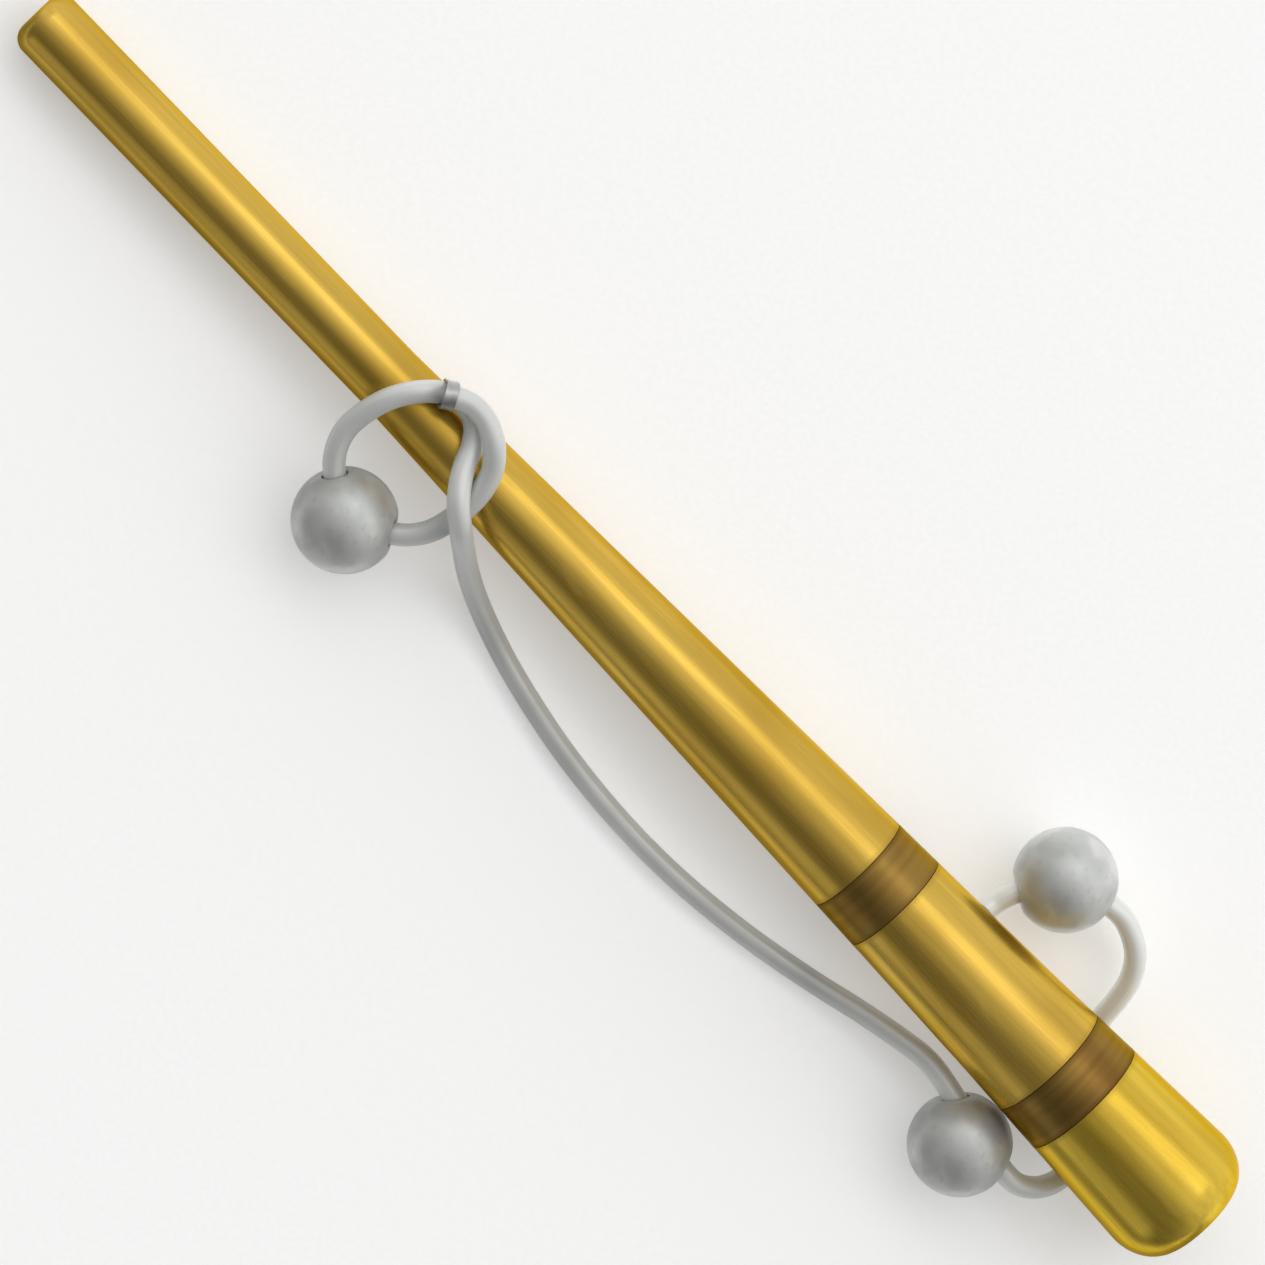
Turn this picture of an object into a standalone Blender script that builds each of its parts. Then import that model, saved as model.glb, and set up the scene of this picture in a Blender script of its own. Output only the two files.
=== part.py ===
"""A gilt magic wand with a silver cord that carries three sliding balls.

The wand lies on a table with its tip down on it and its butt raised by the cord that runs under it.
+X runs along the wand from tip to butt, +Z is up, and the origin is under the middle of the wand,
on the table.  Distances along the wand are measured from its tip, along its own axis.
"""

import math

import bmesh
import bpy
from mathutils import Euler, Matrix, Vector

MM = 0.001

# Driving dimensions, in millimetres
WAND_LENGTH = 350.0
TIP_RADIUS = 7.4
TIP_FLAT_RADIUS = 3.7
STRAIGHT_LENGTH = 103.8
FLARE_START = 290.4
FLARE_START_RADIUS = 13.55
POMMEL_WIDEST = 340.0
POMMEL_RADIUS = 15.9
BUTT_FLAT_RADIUS = 8.0
UPPER_BAND = (244.6, 256.0)
LOWER_BAND = (302.8, 313.6)
SEAM = 0.3
CORE_RADIUS = 4.0
CORE_CLEARANCE = 0.3
CORE_SPAN = (224.0, 332.0)
REST_SLOPE = 0.0408

BALL_RADIUS = 11.2
CORD_RADIUS = 2.4
BORE_CLEARANCE = 0.45
TABLE_CLEARANCE = 0.1

# The ring ball slides on a round stretch of the cord's loop
LOOP_CENTRE = Vector((-56.3, -11.1, 17.54))
LOOP_RADIUS = 14.25
LOOP_TILT = 22.0
LOOP_BALL_AT = -90.0
LOOP_BALL = Vector((-56.3, -26.8, BALL_RADIUS))

# The side ball slides on the wide bow beyond the wand
BOW_CENTRE = Vector((117.6, 12.3, 7.4))
BOW_RADIUS = 20.3
BOW_TILT = 10.0
BOW_BALL_AT = 128.4
BOW_HALF_TURN = 44.0
BOW_BALL = Vector((104.3, 29.1, BALL_RADIUS))

# The lower ball slides on a straight stretch of the cord
RUN_START = Vector((115.3, -18.25, 11.4))
RUN_END = Vector((140.8, -22.8, 11.4))
RUN_BALL = Vector((129.5, -25.4, BALL_RADIUS))

# The cord plugs into a bush in the side of the grip
SOCKET_MOUTH = Vector((97.0, 11.0, 11.0))
SOCKET_INWARD = Vector((-0.05, -0.93, 0.36)).normalized()
SOCKET_DEPTH = 6.0
BUSH_RADIUS = 3.9
BUSH_PROUD = 0.8

# A crimp binds the cord's free end on top of the strand below it
CRIMP_CENTRE = Vector((-61.6, 6.45, 23.85))
CRIMP_STACK = 5.2
CRIMP_HEADING = 210.0
CRIMP_LENGTH = 2.8
CRIMP_CLEARANCE = 0.45
CRIMP_WALL = 0.5

STEPS = 56
TUBE_SIDES_RESOLUTION = 2

COLOURS = {
    "gold": ((0.62, 0.43, 0.10), 0.28, 1.0),
    "bright_gold": ((0.78, 0.52, 0.08), 0.24, 1.0),
    "bronze": ((0.22, 0.12, 0.04), 0.34, 1.0),
    "steel": ((0.45, 0.45, 0.46), 0.40, 1.0),
    "silver": ((0.58, 0.59, 0.57), 0.42, 0.8),
    "silver_cord": ((0.56, 0.57, 0.55), 0.50, 0.3),
}


# ---------------------------------------------------------------- scene and materials


def clear_scene():
    for item in list(bpy.data.objects):
        bpy.data.objects.remove(item, do_unlink=True)


def new_collection(name):
    group = bpy.data.collections.new(name)
    bpy.context.scene.collection.children.link(group)
    return group


def material(name):
    colour, roughness, metallic = COLOURS[name]
    found = bpy.data.materials.get(name)
    if found:
        return found
    made = bpy.data.materials.new(name)
    made.use_nodes = True
    shader = made.node_tree.nodes["Principled BSDF"]
    shader.inputs["Base Color"].default_value = (*colour, 1.0)
    shader.inputs["Roughness"].default_value = roughness
    shader.inputs["Metallic"].default_value = metallic
    return made


def smooth(mesh):
    mesh.shade_smooth()
    mesh.set_sharp_from_angle(angle=math.radians(35))


def add_object(name, data, group, finish=None):
    made = bpy.data.objects.new(name, data)
    group.objects.link(made)
    if finish:
        data.materials.append(material(finish))
    return made


def cut(target, cutter):
    """Takes the cutter's volume out of the target."""
    cutter.hide_render = True
    cutter.display_type = "WIRE"
    boolean = target.modifiers.new("cut_" + cutter.name, "BOOLEAN")
    boolean.operation = "DIFFERENCE"
    boolean.solver = "EXACT"
    boolean.object = cutter


# ---------------------------------------------------------------- the turned wand


def outer_radius(along):
    """The wand's radius at a distance from its tip, between its two rounded ends."""
    if along <= STRAIGHT_LENGTH:
        return TIP_RADIUS
    if along <= FLARE_START:
        share = (along - STRAIGHT_LENGTH) / (FLARE_START - STRAIGHT_LENGTH)
        return TIP_RADIUS + share * (FLARE_START_RADIUS - TIP_RADIUS)
    share = min(1.0, (along - FLARE_START) / (POMMEL_WIDEST - FLARE_START))
    return FLARE_START_RADIUS + share * (POMMEL_RADIUS - FLARE_START_RADIUS)


def rounded_rim(flat_radius, full_radius, face_at, full_at, steps=7):
    """Quarter of an ellipse from an end's flat face to its full radius, as (radius, along) pairs."""
    rim = []
    for step in range(steps + 1):
        angle = math.pi / 2 * step / steps
        radius = flat_radius + (full_radius - flat_radius) * math.sin(angle)
        along = full_at + (face_at - full_at) * math.cos(angle)
        rim.append((radius, along))
    return rim


def turned(name, outline, closed, axis_empty, group, finish):
    """A turned piece on the wand's axis; its outline runs from the tip's side to the butt's side."""
    mesh = bpy.data.meshes.new(name)
    points = [(radius * MM, 0.0, along * MM) for radius, along in reversed(outline)]
    edges = [(i, i + 1) for i in range(len(points) - 1)]
    if closed:
        edges.append((len(points) - 1, 0))
    mesh.from_pydata(points, edges, [])
    made = add_object(name, mesh, group, finish)
    made.parent = axis_empty
    screw = made.modifiers.new("turn", "SCREW")
    screw.axis = "Z"
    screw.steps = STEPS
    screw.render_steps = STEPS
    screw.use_merge_vertices = True
    screw.merge_threshold = 0.00002
    screw.use_smooth_shade = True
    return made


def sleeve_outline(start, end):
    """A ring on the core: up its bore, out over its end, and back along its outside."""
    bore = CORE_RADIUS + CORE_CLEARANCE
    return [(bore, end), (bore, start), (outer_radius(start), start), (outer_radius(end), end)]


def make_wand(axis_empty, group):
    """The turned pieces from tip to butt and the rod inside them; returns the grip."""
    bore = CORE_RADIUS + CORE_CLEARANCE
    half_seam = SEAM / 2
    shaft_end = UPPER_BAND[0] - half_seam
    shaft = [(0.0, 0.0)]
    shaft += rounded_rim(TIP_FLAT_RADIUS, TIP_RADIUS, 0.0, TIP_RADIUS - TIP_FLAT_RADIUS)
    shaft += [(TIP_RADIUS, STRAIGHT_LENGTH), (outer_radius(shaft_end), shaft_end)]
    shaft += [(bore, shaft_end), (bore, CORE_SPAN[0]), (0.0, CORE_SPAN[0])]
    turned("shaft", shaft, False, axis_empty, group, "gold")

    band = sleeve_outline(UPPER_BAND[0] + half_seam, UPPER_BAND[1] - half_seam)
    turned("upper_band", band, True, axis_empty, group, "bronze")

    grip_start = UPPER_BAND[1] + half_seam
    grip_end = LOWER_BAND[0] - half_seam
    grip_outline = sleeve_outline(grip_start, grip_end)
    grip_outline.insert(3, (FLARE_START_RADIUS, FLARE_START))
    grip = turned("grip", grip_outline, True, axis_empty, group, "gold")

    band = sleeve_outline(LOWER_BAND[0] + half_seam, LOWER_BAND[1] - half_seam)
    turned("lower_band", band, True, axis_empty, group, "bronze")

    pommel_start = LOWER_BAND[1] + half_seam
    pommel = [(0.0, CORE_SPAN[1]), (bore, CORE_SPAN[1]), (bore, pommel_start)]
    pommel += [(outer_radius(pommel_start), pommel_start)]
    rim = rounded_rim(BUTT_FLAT_RADIUS, POMMEL_RADIUS, WAND_LENGTH, POMMEL_WIDEST, 10)
    pommel += reversed(rim)
    pommel += [(0.0, WAND_LENGTH)]
    turned("pommel", pommel, False, axis_empty, group, "bright_gold")

    low = CORE_SPAN[0] + SEAM
    high = CORE_SPAN[1] - SEAM
    core = [(0.0, low), (CORE_RADIUS, low), (CORE_RADIUS, high), (0.0, high)]
    turned("core_rod", core, False, axis_empty, group, "steel")
    return grip


# ---------------------------------------------------------------- the cord's route


def round_points(centre, radius, tilt, ball_at, half_turn, step=11.0):
    """Points on a round stretch, centred on the ball's place, in a plane that tilts up towards
    ball_at when tilt is positive.  Angles are in degrees, counted round +Z from +X."""
    uphill = Vector((math.cos(math.radians(ball_at)), math.sin(math.radians(ball_at)), 0.0))
    across = Vector((-uphill.y, uphill.x, 0.0))
    slope = math.radians(tilt)
    outward = uphill * math.cos(slope) + Vector((0.0, 0.0, math.sin(slope)))
    count = max(2, round(2 * half_turn / step))
    points = []
    for index in range(count + 1):
        angle = math.radians(-half_turn + 2 * half_turn * index / count)
        points.append(centre + radius * (outward * math.cos(angle) + across * math.sin(angle)))
    return points


def cord_route():
    """The middle line of the whole cord, from its crimped free end to its socket in the grip."""
    table = CORD_RADIUS + TABLE_CLEARANCE
    route = [
        # the free end, on top of the strand below it, and round over the wand's crest
        Vector((-62.6, 5.9, 26.6)),
        Vector((-60.3, 7.2, 26.4)),
        Vector((-57.0, 8.5, 26.5)),
        Vector((-53.2, 8.4, 27.0)),
        Vector((-50.0, 7.2, 27.1)),
        Vector((-46.8, 5.0, 26.6)),
        Vector((-44.1, 1.8, 25.1)),
        Vector((-42.4, -3.1, 23.2)),
        Vector((-42.0, -7.6, 20.9)),
    ]
    # through the ring ball
    route += reversed(round_points(LOOP_CENTRE, LOOP_RADIUS, -LOOP_TILT, LOOP_BALL_AT, 86.0))
    route += [
        # back up over the wand, under the free end, and across the crest
        Vector((-70.1, -6.3, 19.7)),
        Vector((-68.7, -1.6, 21.7)),
        Vector((-66.0, 2.7, 22.6)),
        Vector((-62.4, 6.0, 21.4)),
        Vector((-58.9, 7.3, 20.9)),
        Vector((-55.7, 7.3, 21.0)),
        Vector((-52.8, 5.8, 21.7)),
        Vector((-50.4, 2.7, 22.7)),
        Vector((-49.0, -0.9, 24.0)),
        Vector((-46.9, -4.5, 25.4)),
        # over the loop's near strand and down to the table
        Vector((-44.1, -7.8, 26.2)),
        Vector((-40.5, -10.5, 24.8)),
        Vector((-36.2, -13.1, 19.6)),
        Vector((-31.2, -15.8, 12.4)),
        Vector((-24.6, -18.7, 6.8)),
        Vector((-15.9, -21.7, 3.3)),
        # the long slack run beside the wand
        Vector((-6.2, -24.4, table)),
        Vector((11.5, -27.8, table)),
        Vector((30.7, -29.5, table)),
        Vector((48.0, -29.3, table)),
        Vector((65.8, -27.4, table)),
        Vector((82.8, -24.2, 3.3)),
        Vector((96.0, -20.9, 6.0)),
        Vector((105.8, -18.8, 8.8)),
        Vector((111.0, -18.0, 10.6)),
    ]
    # straight through the lower ball
    route += [RUN_START.lerp(RUN_END, share / 4) for share in range(5)]
    route += [
        # down beside the lower band and under the wand
        Vector((144.6, -22.5, 10.9)),
        Vector((148.4, -20.0, 9.6)),
        Vector((150.9, -15.7, 7.4)),
        Vector((151.3, -10.4, 5.0)),
        Vector((148.8, -5.2, 3.0)),
        Vector((145.0, -0.4, table)),
        Vector((140.4, 4.4, table)),
        Vector((136.2, 9.2, table)),
        Vector((133.4, 14.4, 3.0)),
        Vector((132.4, 19.6, 4.3)),
        Vector((130.6, 24.8, 6.2)),
        Vector((126.6, 29.4, 8.3)),
    ]
    # the bow through the side ball
    route += round_points(BOW_CENTRE, BOW_RADIUS, BOW_TILT, BOW_BALL_AT, BOW_HALF_TURN)
    route += [SOCKET_MOUTH, SOCKET_MOUTH + SOCKET_INWARD * (SOCKET_DEPTH - SEAM) / 2]
    route += [SOCKET_MOUTH + SOCKET_INWARD * (SOCKET_DEPTH - SEAM)]
    return route


def smooth_curve(route, parts=24):
    """A smooth curve through the route's points: a Catmull-Rom spline with centripetal knots."""
    first = route[0] * 2 - route[1]
    last = route[-1] * 2 - route[-2]
    knots = [first, *route, last]
    fine = []
    for index in range(1, len(knots) - 2):
        a, b, c, d = knots[index - 1 : index + 3]
        t0 = 0.0
        t1 = t0 + math.sqrt((b - a).length)
        t2 = t1 + math.sqrt((c - b).length)
        t3 = t2 + math.sqrt((d - c).length)
        for part in range(parts):
            t = t1 + (t2 - t1) * part / parts
            ab = a.lerp(b, (t - t0) / (t1 - t0))
            bc = b.lerp(c, (t - t1) / (t2 - t1))
            cd = c.lerp(d, (t - t2) / (t3 - t2))
            abc = ab.lerp(bc, (t - t0) / (t2 - t0))
            bcd = bc.lerp(cd, (t - t1) / (t3 - t1))
            fine.append(abc.lerp(bcd, (t - t1) / (t2 - t1)))
    fine.append(route[-1].copy())
    return fine


def spaced(fine, longest=11.0, most_turn=17.0):
    """The fine curve's points thinned: one after each longest step, or sooner round a bend."""
    kept = [fine[0]]
    heading = fine[1] - fine[0]
    gone = 0.0
    for before, here, after in zip(fine, fine[1:], fine[2:]):
        gone += (here - before).length
        turned_by = math.degrees(heading.angle(after - here))
        if gone >= longest or turned_by >= most_turn:
            kept.append(here)
            heading = after - here
            gone = 0.0
    kept.append(fine[-1])
    return kept


def tube(name, points, radius, group, finish=None):
    """A round tube along points in millimetres, with closed ends."""
    data = bpy.data.curves.new(name, "CURVE")
    data.dimensions = "3D"
    data.bevel_depth = radius * MM
    data.bevel_resolution = TUBE_SIDES_RESOLUTION
    data.use_fill_caps = True
    spline = data.splines.new("POLY")
    spline.points.add(len(points) - 1)
    for slot, point in zip(spline.points, points):
        slot.co = (*(point * MM), 1.0)
    return add_object(name, data, group, finish)


# ---------------------------------------------------------------- balls, bush and crimp


def ball(name, centre, group):
    """A whole ball, before its bore is cut."""
    bpy.ops.mesh.primitive_uv_sphere_add(
        segments=36, ring_count=20, radius=BALL_RADIUS * MM, location=centre * MM
    )
    made = bpy.context.object
    made.name = name
    made.data.name = name
    made.data.materials.append(material("silver"))
    smooth(made.data)
    move_to(made, group)
    return made


def move_to(item, group):
    for holder in list(item.users_collection):
        holder.objects.unlink(item)
    group.objects.link(item)


def round_cutter(name, centre, radius, tilt, ball_at, group):
    """A whole ring along a round stretch of cord, wider than the cord by the bore's clearance."""
    turn = Matrix.Rotation(math.radians(ball_at), 4, "Z")
    tip_up = Matrix.Rotation(math.radians(-tilt), 4, "Y")
    bpy.ops.mesh.primitive_torus_add(
        major_radius=radius * MM,
        minor_radius=(CORD_RADIUS + BORE_CLEARANCE) * MM,
        major_segments=72,
        minor_segments=16,
    )
    made = bpy.context.object
    made.name = name
    made.matrix_world = Matrix.Translation(centre * MM) @ turn @ tip_up
    move_to(made, group)
    return made


def rod_cutter(name, start, end, radius, group):
    """A straight cylinder between two points."""
    along = end - start
    bpy.ops.mesh.primitive_cylinder_add(vertices=28, radius=radius * MM, depth=along.length * MM)
    made = bpy.context.object
    made.name = name
    turn = along.to_track_quat("Z", "X").to_matrix().to_4x4()
    made.matrix_world = Matrix.Translation((start + end) / 2 * MM) @ turn
    move_to(made, group)
    return made


def make_balls(parts, cutters):
    """The three balls, each bored along the stretch of cord that it slides on."""
    ring_ball = ball("ring_ball", LOOP_BALL, parts)
    bore = round_cutter(
        "ring_bore", LOOP_CENTRE, LOOP_RADIUS, -LOOP_TILT, LOOP_BALL_AT, cutters
    )
    cut(ring_ball, bore)

    side_ball = ball("side_ball", BOW_BALL, parts)
    bore = round_cutter("side_bore", BOW_CENTRE, BOW_RADIUS, BOW_TILT, BOW_BALL_AT, cutters)
    cut(side_ball, bore)

    lower_ball = ball("lower_ball", RUN_BALL, parts)
    run = (RUN_END - RUN_START).normalized()
    middle = RUN_START.lerp(RUN_END, 0.5)
    bore = rod_cutter(
        "lower_bore",
        middle - run * 2 * BALL_RADIUS,
        middle + run * 2 * BALL_RADIUS,
        CORD_RADIUS + BORE_CLEARANCE,
        cutters,
    )
    cut(lower_ball, bore)


def make_socket(grip, parts, cutters):
    """The blind hole in the grip, and the bush in it that holds the cord's end."""
    floor = SOCKET_MOUTH + SOCKET_INWARD * (SOCKET_DEPTH + SEAM)
    outside = SOCKET_MOUTH - SOCKET_INWARD * 8.0
    cut(grip, rod_cutter("socket_hole", outside, floor, BUSH_RADIUS + SEAM, cutters))

    mesh = bpy.data.meshes.new("cord_bush")
    bore = CORD_RADIUS + SEAM
    corners = [
        (bore, -BUSH_PROUD),
        (BUSH_RADIUS, -BUSH_PROUD),
        (BUSH_RADIUS, SOCKET_DEPTH),
        (bore, SOCKET_DEPTH),
    ]
    points = [(radius * MM, 0.0, -deep * MM) for radius, deep in corners]
    mesh.from_pydata(points, [(0, 1), (1, 2), (2, 3), (3, 0)], [])
    bush = add_object("cord_bush", mesh, parts, "bronze")
    bush.location = SOCKET_MOUTH * MM
    bush.rotation_euler = (-SOCKET_INWARD).to_track_quat("Z", "X").to_euler()
    screw = bush.modifiers.new("turn", "SCREW")
    screw.steps = 32
    screw.render_steps = 32
    screw.use_merge_vertices = True
    screw.merge_threshold = 0.00002
    screw.use_smooth_shade = True


def make_crimp(parts):
    """A band with round ends, wrapped round the two stacked strands."""
    inner = CORD_RADIUS + CRIMP_CLEARANCE
    half_stack = CRIMP_STACK / 2
    arc_steps = 10
    outline = []
    for lift, first in ((half_stack, 0.0), (-half_stack, math.pi)):
        for step in range(arc_steps + 1):
            angle = first + math.pi * step / arc_steps
            outline.append((inner * math.cos(angle), lift + inner * math.sin(angle)))
    shape = bmesh.new()
    loops = []
    for end in (-CRIMP_LENGTH / 2, CRIMP_LENGTH / 2):
        loops.append([shape.verts.new((end * MM, y * MM, z * MM)) for y, z in outline])
    count = len(outline)
    for index in range(count):
        following = (index + 1) % count
        shape.faces.new(
            (loops[0][index], loops[0][following], loops[1][following], loops[1][index])
        )
    bmesh.ops.recalc_face_normals(shape, faces=shape.faces)
    mesh = bpy.data.meshes.new("loop_crimp")
    shape.to_mesh(mesh)
    shape.free()
    crimp = add_object("loop_crimp", mesh, parts, "silver")
    crimp.location = CRIMP_CENTRE * MM
    crimp.rotation_euler = Euler((0.0, 0.0, math.radians(CRIMP_HEADING)))
    wall = crimp.modifiers.new("wall", "SOLIDIFY")
    wall.thickness = CRIMP_WALL * MM
    wall.offset = 1.0
    smooth(mesh)


# ---------------------------------------------------------------- assembly


def wand_axis(group):
    """An empty at the wand's tip, whose +Z runs along the wand as it rests."""
    tilt = math.atan(REST_SLOPE)
    touch_along = TIP_RADIUS - TIP_FLAT_RADIUS
    empty = bpy.data.objects.new("wand_axis", None)
    group.objects.link(empty)
    empty.rotation_euler = (0.0, math.pi / 2 - tilt, 0.0)
    height = TIP_RADIUS * math.cos(tilt) - touch_along * math.sin(tilt)
    empty.location = Vector((-WAND_LENGTH / 2 * math.cos(tilt), 0.0, height)) * MM
    return empty


def main():
    clear_scene()
    parts = new_collection("magic_wand")
    cutters = new_collection("cutters")
    axis_empty = wand_axis(parts)
    grip = make_wand(axis_empty, parts)
    make_socket(grip, parts, cutters)
    make_balls(parts, cutters)
    tube("cord", spaced(smooth_curve(cord_route())), CORD_RADIUS, parts, "silver_cord")
    make_crimp(parts)
    bpy.context.view_layer.update()


main()
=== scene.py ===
import math

import bmesh
import bpy
from mathutils import Matrix, Vector


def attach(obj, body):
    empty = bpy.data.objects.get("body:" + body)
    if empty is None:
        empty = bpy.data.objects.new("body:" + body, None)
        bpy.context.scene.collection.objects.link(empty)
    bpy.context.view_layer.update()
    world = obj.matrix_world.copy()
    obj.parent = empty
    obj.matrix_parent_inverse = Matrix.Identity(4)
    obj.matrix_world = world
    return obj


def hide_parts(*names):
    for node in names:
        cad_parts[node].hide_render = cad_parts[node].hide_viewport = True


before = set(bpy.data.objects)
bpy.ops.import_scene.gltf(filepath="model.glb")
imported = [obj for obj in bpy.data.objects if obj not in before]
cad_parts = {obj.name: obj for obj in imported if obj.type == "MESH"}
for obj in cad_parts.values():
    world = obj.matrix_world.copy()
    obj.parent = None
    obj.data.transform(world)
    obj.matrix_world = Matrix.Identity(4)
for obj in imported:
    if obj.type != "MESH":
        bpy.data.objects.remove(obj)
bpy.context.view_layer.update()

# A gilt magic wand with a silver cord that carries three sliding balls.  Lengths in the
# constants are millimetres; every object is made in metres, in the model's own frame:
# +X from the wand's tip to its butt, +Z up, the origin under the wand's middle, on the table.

MM = 0.001

WAND_LENGTH = 350.0
TIP_RADIUS = 7.4
TIP_FLAT_RADIUS = 3.7
STRAIGHT_LENGTH = 103.8
FLARE_START = 290.4
FLARE_START_RADIUS = 13.55
POMMEL_WIDEST = 340.0
POMMEL_RADIUS = 15.9
BUTT_FLAT_RADIUS = 8.0
UPPER_BAND = (244.6, 256.0)
LOWER_BAND = (302.8, 313.6)
SEAM = 0.3
CORE_RADIUS = 4.0
CORE_CLEARANCE = 0.3
CORE_START = 224.0
CORE_END = 332.0
REST_SLOPE = 0.0408
JOINT_GAP = 0.1
EDGE_ROUND = 0.14
SHARP_TURN = 50.0

BALL_RADIUS = 11.2
CORD_RADIUS = 2.4
BORE_CLEARANCE = 0.45
TABLE_CLEARANCE = 0.1
DISH_WIDTH = 2.2
DISH_DEPTH = 0.85

LOOP_CENTRE = Vector((-56.3, -11.1, 17.54))
LOOP_RADIUS = 14.25
LOOP_TILT = 22.0
LOOP_BALL_AT = -90.0
LOOP_BALL = Vector((-56.3, -26.8, BALL_RADIUS))

BOW_CENTRE = Vector((117.6, 12.3, 7.4))
BOW_RADIUS = 20.3
BOW_TILT = 10.0
BOW_BALL_AT = 128.4
BOW_HALF_TURN = 44.0
BOW_BALL = Vector((104.3, 29.1, BALL_RADIUS))

RUN_START = Vector((115.3, -18.25, 11.4))
RUN_END = Vector((140.8, -22.8, 11.4))
RUN_BALL = Vector((129.5, -25.4, BALL_RADIUS))

SOCKET_MOUTH = Vector((97.0, 11.0, 11.0))
SOCKET_INWARD = Vector((-0.05, -0.93, 0.36)).normalized()
SOCKET_DEPTH = 6.0
BUSH_RADIUS = 3.9
BUSH_PROUD = 0.8

CRIMP_CENTRE = Vector((-61.6, 6.45, 23.85))
CRIMP_STACK = 5.2
CRIMP_HEADING = 210.0
CRIMP_LENGTH = 2.8
CRIMP_CLEARANCE = 0.15
CRIMP_WALL = 0.5
CRIMP_WAIST = 0.12
CRIMP_RIM_DROP = 0.2
CRIMP_BEVEL = 0.12

TURN_STEPS = 144
CURVE_PARTS = 24
CORD_RING_SPACING = 0.9
CORD_SIDES = 24
CORD_CAP = 1.5
ROD_SIDES = 64
FLOOR_RADIUS = 9.0
CARD_DROP = 0.0002

# The camera: degrees of lean and roll, and its place in metres.
CAMERA_TILT = 9.5
CAMERA_ROLL = 46.025
CAMERA_PLACE = Vector((-0.2384, -0.0002, 1.4501))


# ---------------------------------------------------------------- camera


def make_camera():
    """A long lens almost straight above, leaning towards the tip and rolled so that the wand
    runs from the picture's upper left to its lower right."""
    tilt = math.radians(CAMERA_TILT)
    roll = math.radians(CAMERA_ROLL)
    back = Vector((-math.sin(tilt), 0.0, math.cos(tilt)))
    along = Vector((math.cos(tilt), 0.0, math.sin(tilt)))
    side = Vector((0.0, 1.0, 0.0))
    right = along * math.cos(roll) + side * math.sin(roll)
    up = side * math.cos(roll) - along * math.sin(roll)
    data = bpy.data.cameras.new("camera")
    data.lens = 200.0
    data.sensor_width = 36.0
    data.clip_start = 0.05
    data.clip_end = 30.0
    camera = bpy.data.objects.new("camera", data)
    bpy.context.scene.collection.objects.link(camera)
    camera.matrix_world = Matrix.Translation(CAMERA_PLACE) @ Matrix(
        (right, up, back)
    ).transposed().to_4x4()
    bpy.context.scene.camera = camera


make_camera()


# ---------------------------------------------------------------- mesh helpers


def new_object(name, data):
    made = bpy.data.objects.new(name, data)
    bpy.context.scene.collection.objects.link(made)
    return made


def note_own_place(made, matrix):
    """Writes each point's place in the piece's own frame, which its material reads."""
    back = matrix.inverted()
    own = made.data.attributes.new("own", "FLOAT_VECTOR", "POINT")
    values = []
    for vert in made.data.vertices:
        values.extend(back @ vert.co)
    own.data.foreach_set("vector", values)


def smooth_shading(mesh, angle):
    mesh.shade_smooth()
    mesh.set_sharp_from_angle(angle=math.radians(angle))


def apply_modifiers(made):
    """Keeps the object's evaluated mesh and drops its modifiers."""
    graph = bpy.context.evaluated_depsgraph_get()
    mesh = bpy.data.meshes.new_from_object(made.evaluated_get(graph), depsgraph=graph)
    old = made.data
    made.modifiers.clear()
    made.data = mesh
    name = old.name
    bpy.data.meshes.remove(old)
    mesh.name = name


def cut(target, cutter):
    """Takes the cutter's volume out of the target and removes the cutter."""
    boolean = target.modifiers.new("cut", "BOOLEAN")
    boolean.operation = "DIFFERENCE"
    boolean.solver = "EXACT"
    boolean.object = cutter
    apply_modifiers(target)
    data = cutter.data
    bpy.data.objects.remove(cutter, do_unlink=True)
    bpy.data.meshes.remove(data)


def turned_mesh(name, outline, closed, steps=TURN_STEPS):
    """A turned surface round +Z from (radius, along) pairs in millimetres."""
    shape = bmesh.new()
    rings = []
    for radius, along in outline:
        if radius < 1e-6:
            rings.append([shape.verts.new((0.0, 0.0, along * MM))])
            continue
        ring = []
        for step in range(steps):
            angle = 2 * math.pi * step / steps
            ring.append(
                shape.verts.new(
                    (radius * math.cos(angle) * MM, radius * math.sin(angle) * MM, along * MM)
                )
            )
        rings.append(ring)
    pairs = list(zip(rings, rings[1:]))
    if closed:
        pairs.append((rings[-1], rings[0]))
    for first, second in pairs:
        for step in range(steps):
            following = (step + 1) % steps
            if len(first) == 1:
                corners = (first[0], second[step], second[following])
            elif len(second) == 1:
                corners = (first[step], second[0], first[following])
            else:
                corners = (first[step], second[step], second[following], first[following])
            shape.faces.new(corners)
    bmesh.ops.recalc_face_normals(shape, faces=shape.faces)
    mesh = bpy.data.meshes.new(name)
    shape.to_mesh(mesh)
    shape.free()
    return mesh


def softened(outline, size=EDGE_ROUND, closed=False):
    """The outline with each sharp corner swapped for a small arc."""
    points = [Vector(point) for point in outline]
    count = len(points)
    result = []
    for index, here in enumerate(points):
        inside = 0 < index < count - 1
        if not (inside or closed):
            result.append(tuple(here))
            continue
        before = points[index - 1]
        after = points[(index + 1) % count]
        incoming = here - before
        outgoing = after - here
        shortest = min(incoming.length, outgoing.length)
        if shortest == 0 or math.degrees(incoming.angle(outgoing)) < SHARP_TURN:
            result.append(tuple(here))
            continue
        reach = min(size, incoming.length * 0.45, outgoing.length * 0.45)
        start = here - incoming.normalized() * reach
        end = here + outgoing.normalized() * reach
        for step in range(5):
            share = step / 4
            point = start * (1 - share) ** 2 + here * 2 * share * (1 - share) + end * share**2
            result.append(tuple(point))
    return result


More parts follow.
